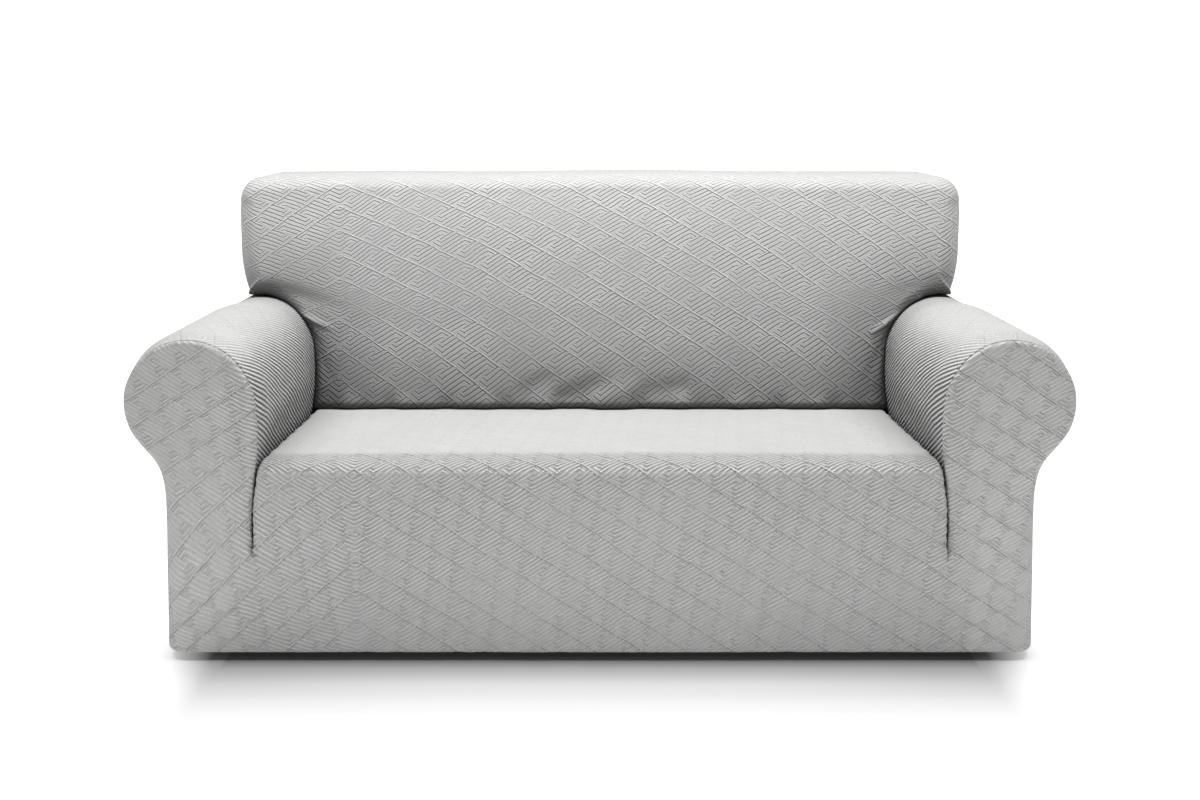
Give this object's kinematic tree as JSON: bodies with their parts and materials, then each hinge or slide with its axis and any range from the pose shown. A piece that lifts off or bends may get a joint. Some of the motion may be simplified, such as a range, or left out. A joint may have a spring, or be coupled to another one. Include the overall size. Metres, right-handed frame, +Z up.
{
  "type": "sofa slipcover",
  "caption": "Stretch-knit slipcover fitted to a sofa with rolled arms: tucked-in back and seat, arm covers and a plain skirt to the floor, hollow and open underneath.",
  "frame": {"origin": "on the floor under the middle of the cover, at the height of its hem", "axes": "+Z up, -Y towards the front of the seat, +X to the right of someone who faces the front"},
  "size_m": [1.8618, 0.8554, 0.9162],
  "materials": {
    "inside_back": "matt light grey stretch jacquard, face and top of the back",
    "outside_back": "matt light grey stretch jacquard, plain panel down the back",
    "seat_front": "matt light grey stretch jacquard, seat, front skirt and arm facings",
    "arm_left": "matt light grey stretch jacquard, left arm",
    "arm_right": "matt light grey stretch jacquard, right arm"
  },
  "bodies": {
    "root": {"inside_back": "inside_back", "outside_back": "outside_back", "seat_front": "seat_front", "arm_left": "arm_left", "arm_right": "arm_right"}
  },
  "joints": []
}
